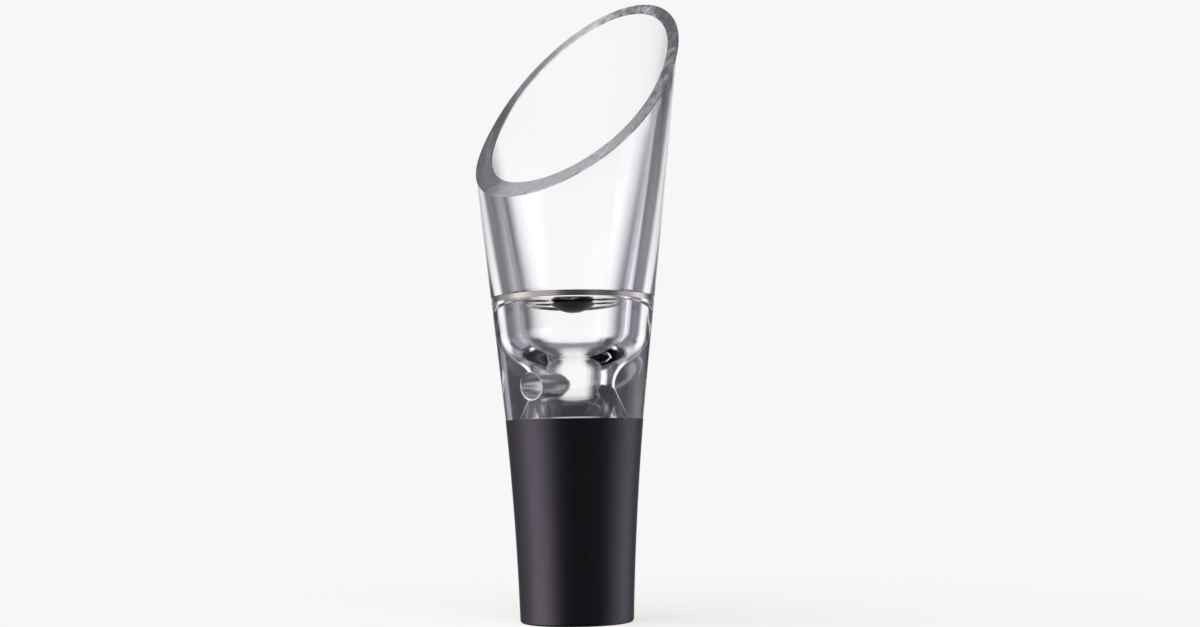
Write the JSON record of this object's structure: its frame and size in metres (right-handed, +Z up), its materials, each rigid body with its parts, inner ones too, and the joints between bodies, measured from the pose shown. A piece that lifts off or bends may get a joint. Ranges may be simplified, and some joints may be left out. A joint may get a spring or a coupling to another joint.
{
  "type": "wine aerator pourer",
  "caption": "Clear conical pouring spout with a slanted mouth over a perforated disc, a venturi bowl with a side air inlet, and a black rubber bottle stopper.",
  "frame": {"origin": "centre of the stopper's flat bottom face, on the axis", "axes": "+Z up along the axis, +X towards the pouring lip, the air inlet opens towards -X, symmetric about the XZ plane"},
  "size_m": [0.034, 0.0334, 0.104],
  "materials": {
    "clear_acrylic": "polished, clear",
    "disc_steel": "polished stainless steel with a finely ribbed, sheared edge",
    "black_rubber": "moulded, matte"
  },
  "bodies": {
    "root": {"stopper": "black_rubber", "venturi_body": "clear_acrylic", "aerator_disc": "disc_steel", "spout": "clear_acrylic"}
  },
  "joints": []
}
